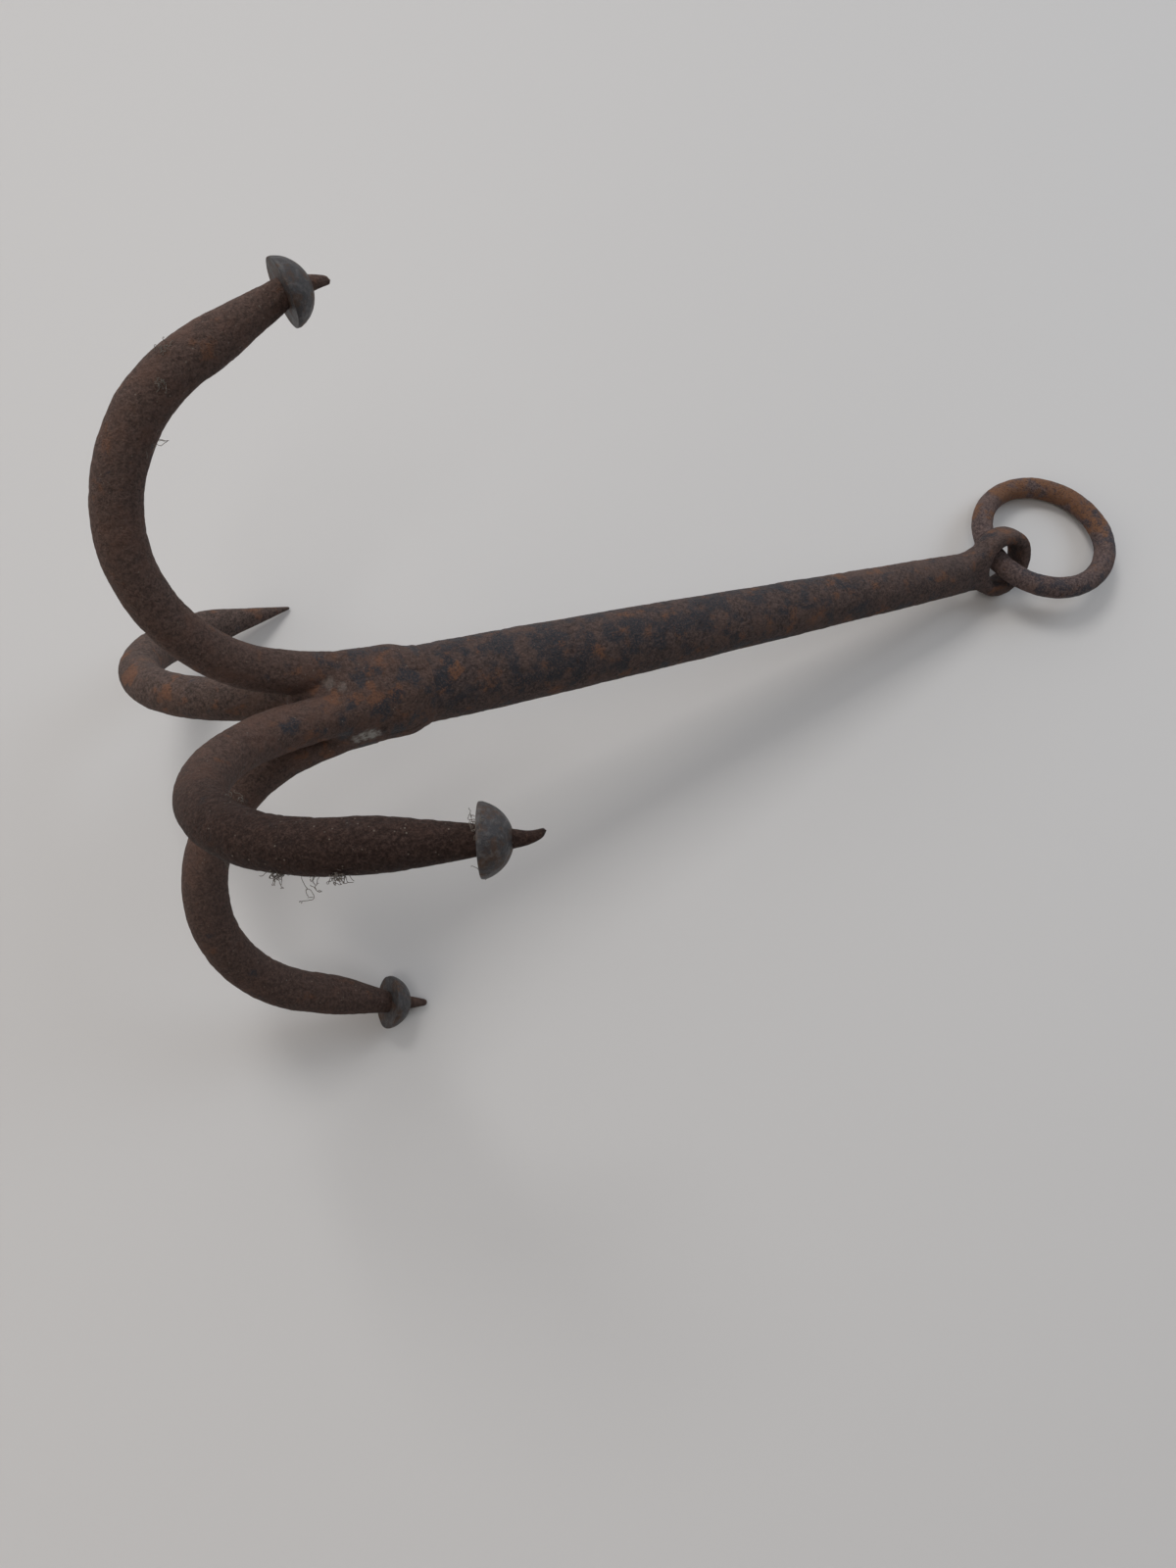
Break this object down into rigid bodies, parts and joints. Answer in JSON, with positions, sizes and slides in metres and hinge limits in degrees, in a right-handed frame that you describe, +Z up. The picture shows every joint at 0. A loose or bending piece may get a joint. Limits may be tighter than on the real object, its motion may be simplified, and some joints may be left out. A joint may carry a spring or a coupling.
{
  "type": "grapnel",
  "caption": "Hand-forged iron grapnel: hooked prongs with capped tips on a tapered shank whose eye holds a loose ring, for dragging, catching or holding on a line.",
  "frame": {"origin": "on the table, under the middle of the box that holds the whole tool as it lies", "axes": "+X from the hooks towards the ring, along the table; +Y towards the far side of the picture; +Z up from the table"},
  "size_m": [0.2724, 0.1264, 0.1279],
  "materials": {
    "shank_iron": "hammered wrought iron, rust brown with blue-black scale",
    "prong_iron": "bent wrought iron bar, dark gritty rust",
    "cap_bronze": "dark grey-green patina, nearly smooth",
    "ring_iron": "worn wrought iron, purple-brown with orange rust"
  },
  "bodies": {
    "grapnel": {"shank": "shank_iron", "prong_up": "prong_iron", "prong_front": "prong_iron", "prong_low": "prong_iron", "prong_bare": "prong_iron", "cap_up": "cap_bronze", "cap_front": "cap_bronze", "cap_low": "cap_bronze"},
    "ring": {"ring": "ring_iron"}
  },
  "joints": [
    {"name": "ring_swing", "type": "hinge", "parent": "grapnel", "child": "ring", "pos_m": [0.09777, 0.00282, 0.00917], "axis": [0.1693, -0.7795, 0.6031], "range_deg": [-160, 140]}
  ]
}
